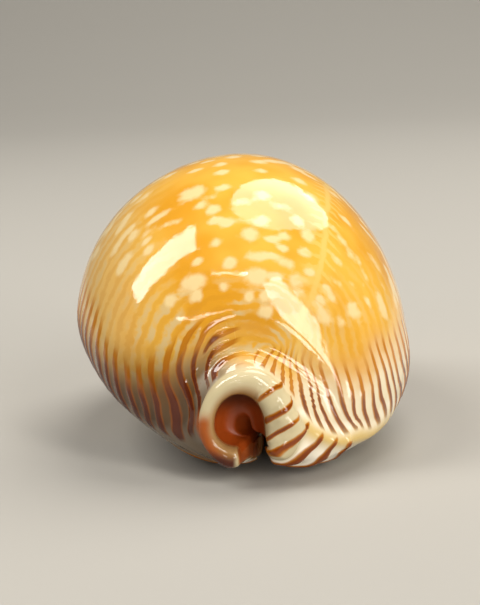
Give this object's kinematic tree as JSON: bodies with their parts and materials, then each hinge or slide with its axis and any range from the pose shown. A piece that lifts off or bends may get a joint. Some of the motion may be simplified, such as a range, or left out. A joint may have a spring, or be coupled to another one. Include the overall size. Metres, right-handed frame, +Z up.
{
  "type": "cowrie shell",
  "caption": "Glossy egg-shaped cowrie shell with a narrow toothed slit along its flat base, ribbed sides and a short open canal at each end.",
  "frame": {"origin": "middle of the shell's footprint, on the plane it rests on", "axes": "+Z up through the back, +Y from the spire end to the front end, +X towards the outer lip"},
  "size_m": [0.042, 0.062, 0.0346],
  "materials": {
    "shell": "gloss"
  },
  "bodies": {
    "root": {"shell": "shell"}
  },
  "joints": []
}
